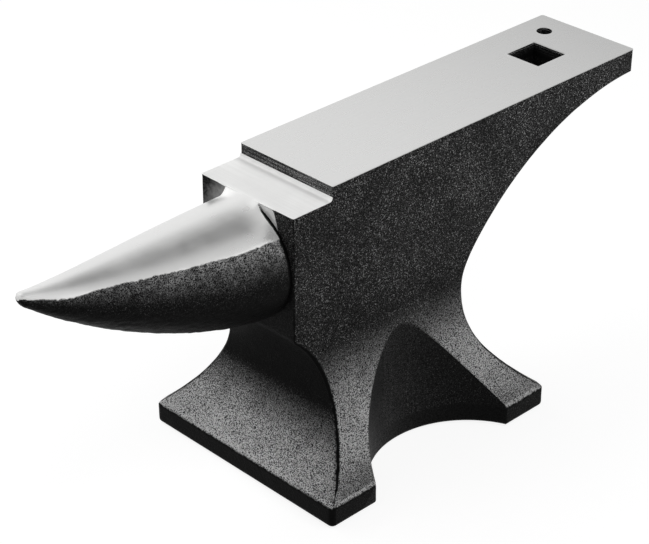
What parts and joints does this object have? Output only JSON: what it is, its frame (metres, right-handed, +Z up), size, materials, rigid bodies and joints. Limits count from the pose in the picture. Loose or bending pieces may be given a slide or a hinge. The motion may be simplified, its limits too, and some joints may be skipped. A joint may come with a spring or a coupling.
{
  "type": "single horn anvil",
  "caption": "Free-standing smith's anvil with a flat bare face, a step, one round tapered horn, a square hardy hole, a round pritchel hole and a spread base with hollowed sides.",
  "frame": {"origin": "on the floor under the middle of the anvil's whole length and width", "axes": "-X towards the horn's tip, +X towards the heel, +Z up, the left side (seen from the heel) at -Y"},
  "size_m": [0.585, 0.201, 0.2495],
  "materials": {
    "painted_casting": "rough sand casting with black paint",
    "machined_face": "milled and ground bare top, black painted edges",
    "machined_table": "milled bare top, black painted sides",
    "ground_horn": "ground bright on top, black painted casting underneath"
  },
  "bodies": {
    "root": {"core_body": "painted_casting", "face_plate": "machined_face", "cutting_table": "machined_table", "horn": "ground_horn", "heel": "painted_casting", "front_left_foot": "painted_casting", "front_right_foot": "painted_casting", "rear_left_foot": "painted_casting", "rear_right_foot": "painted_casting"}
  },
  "joints": []
}
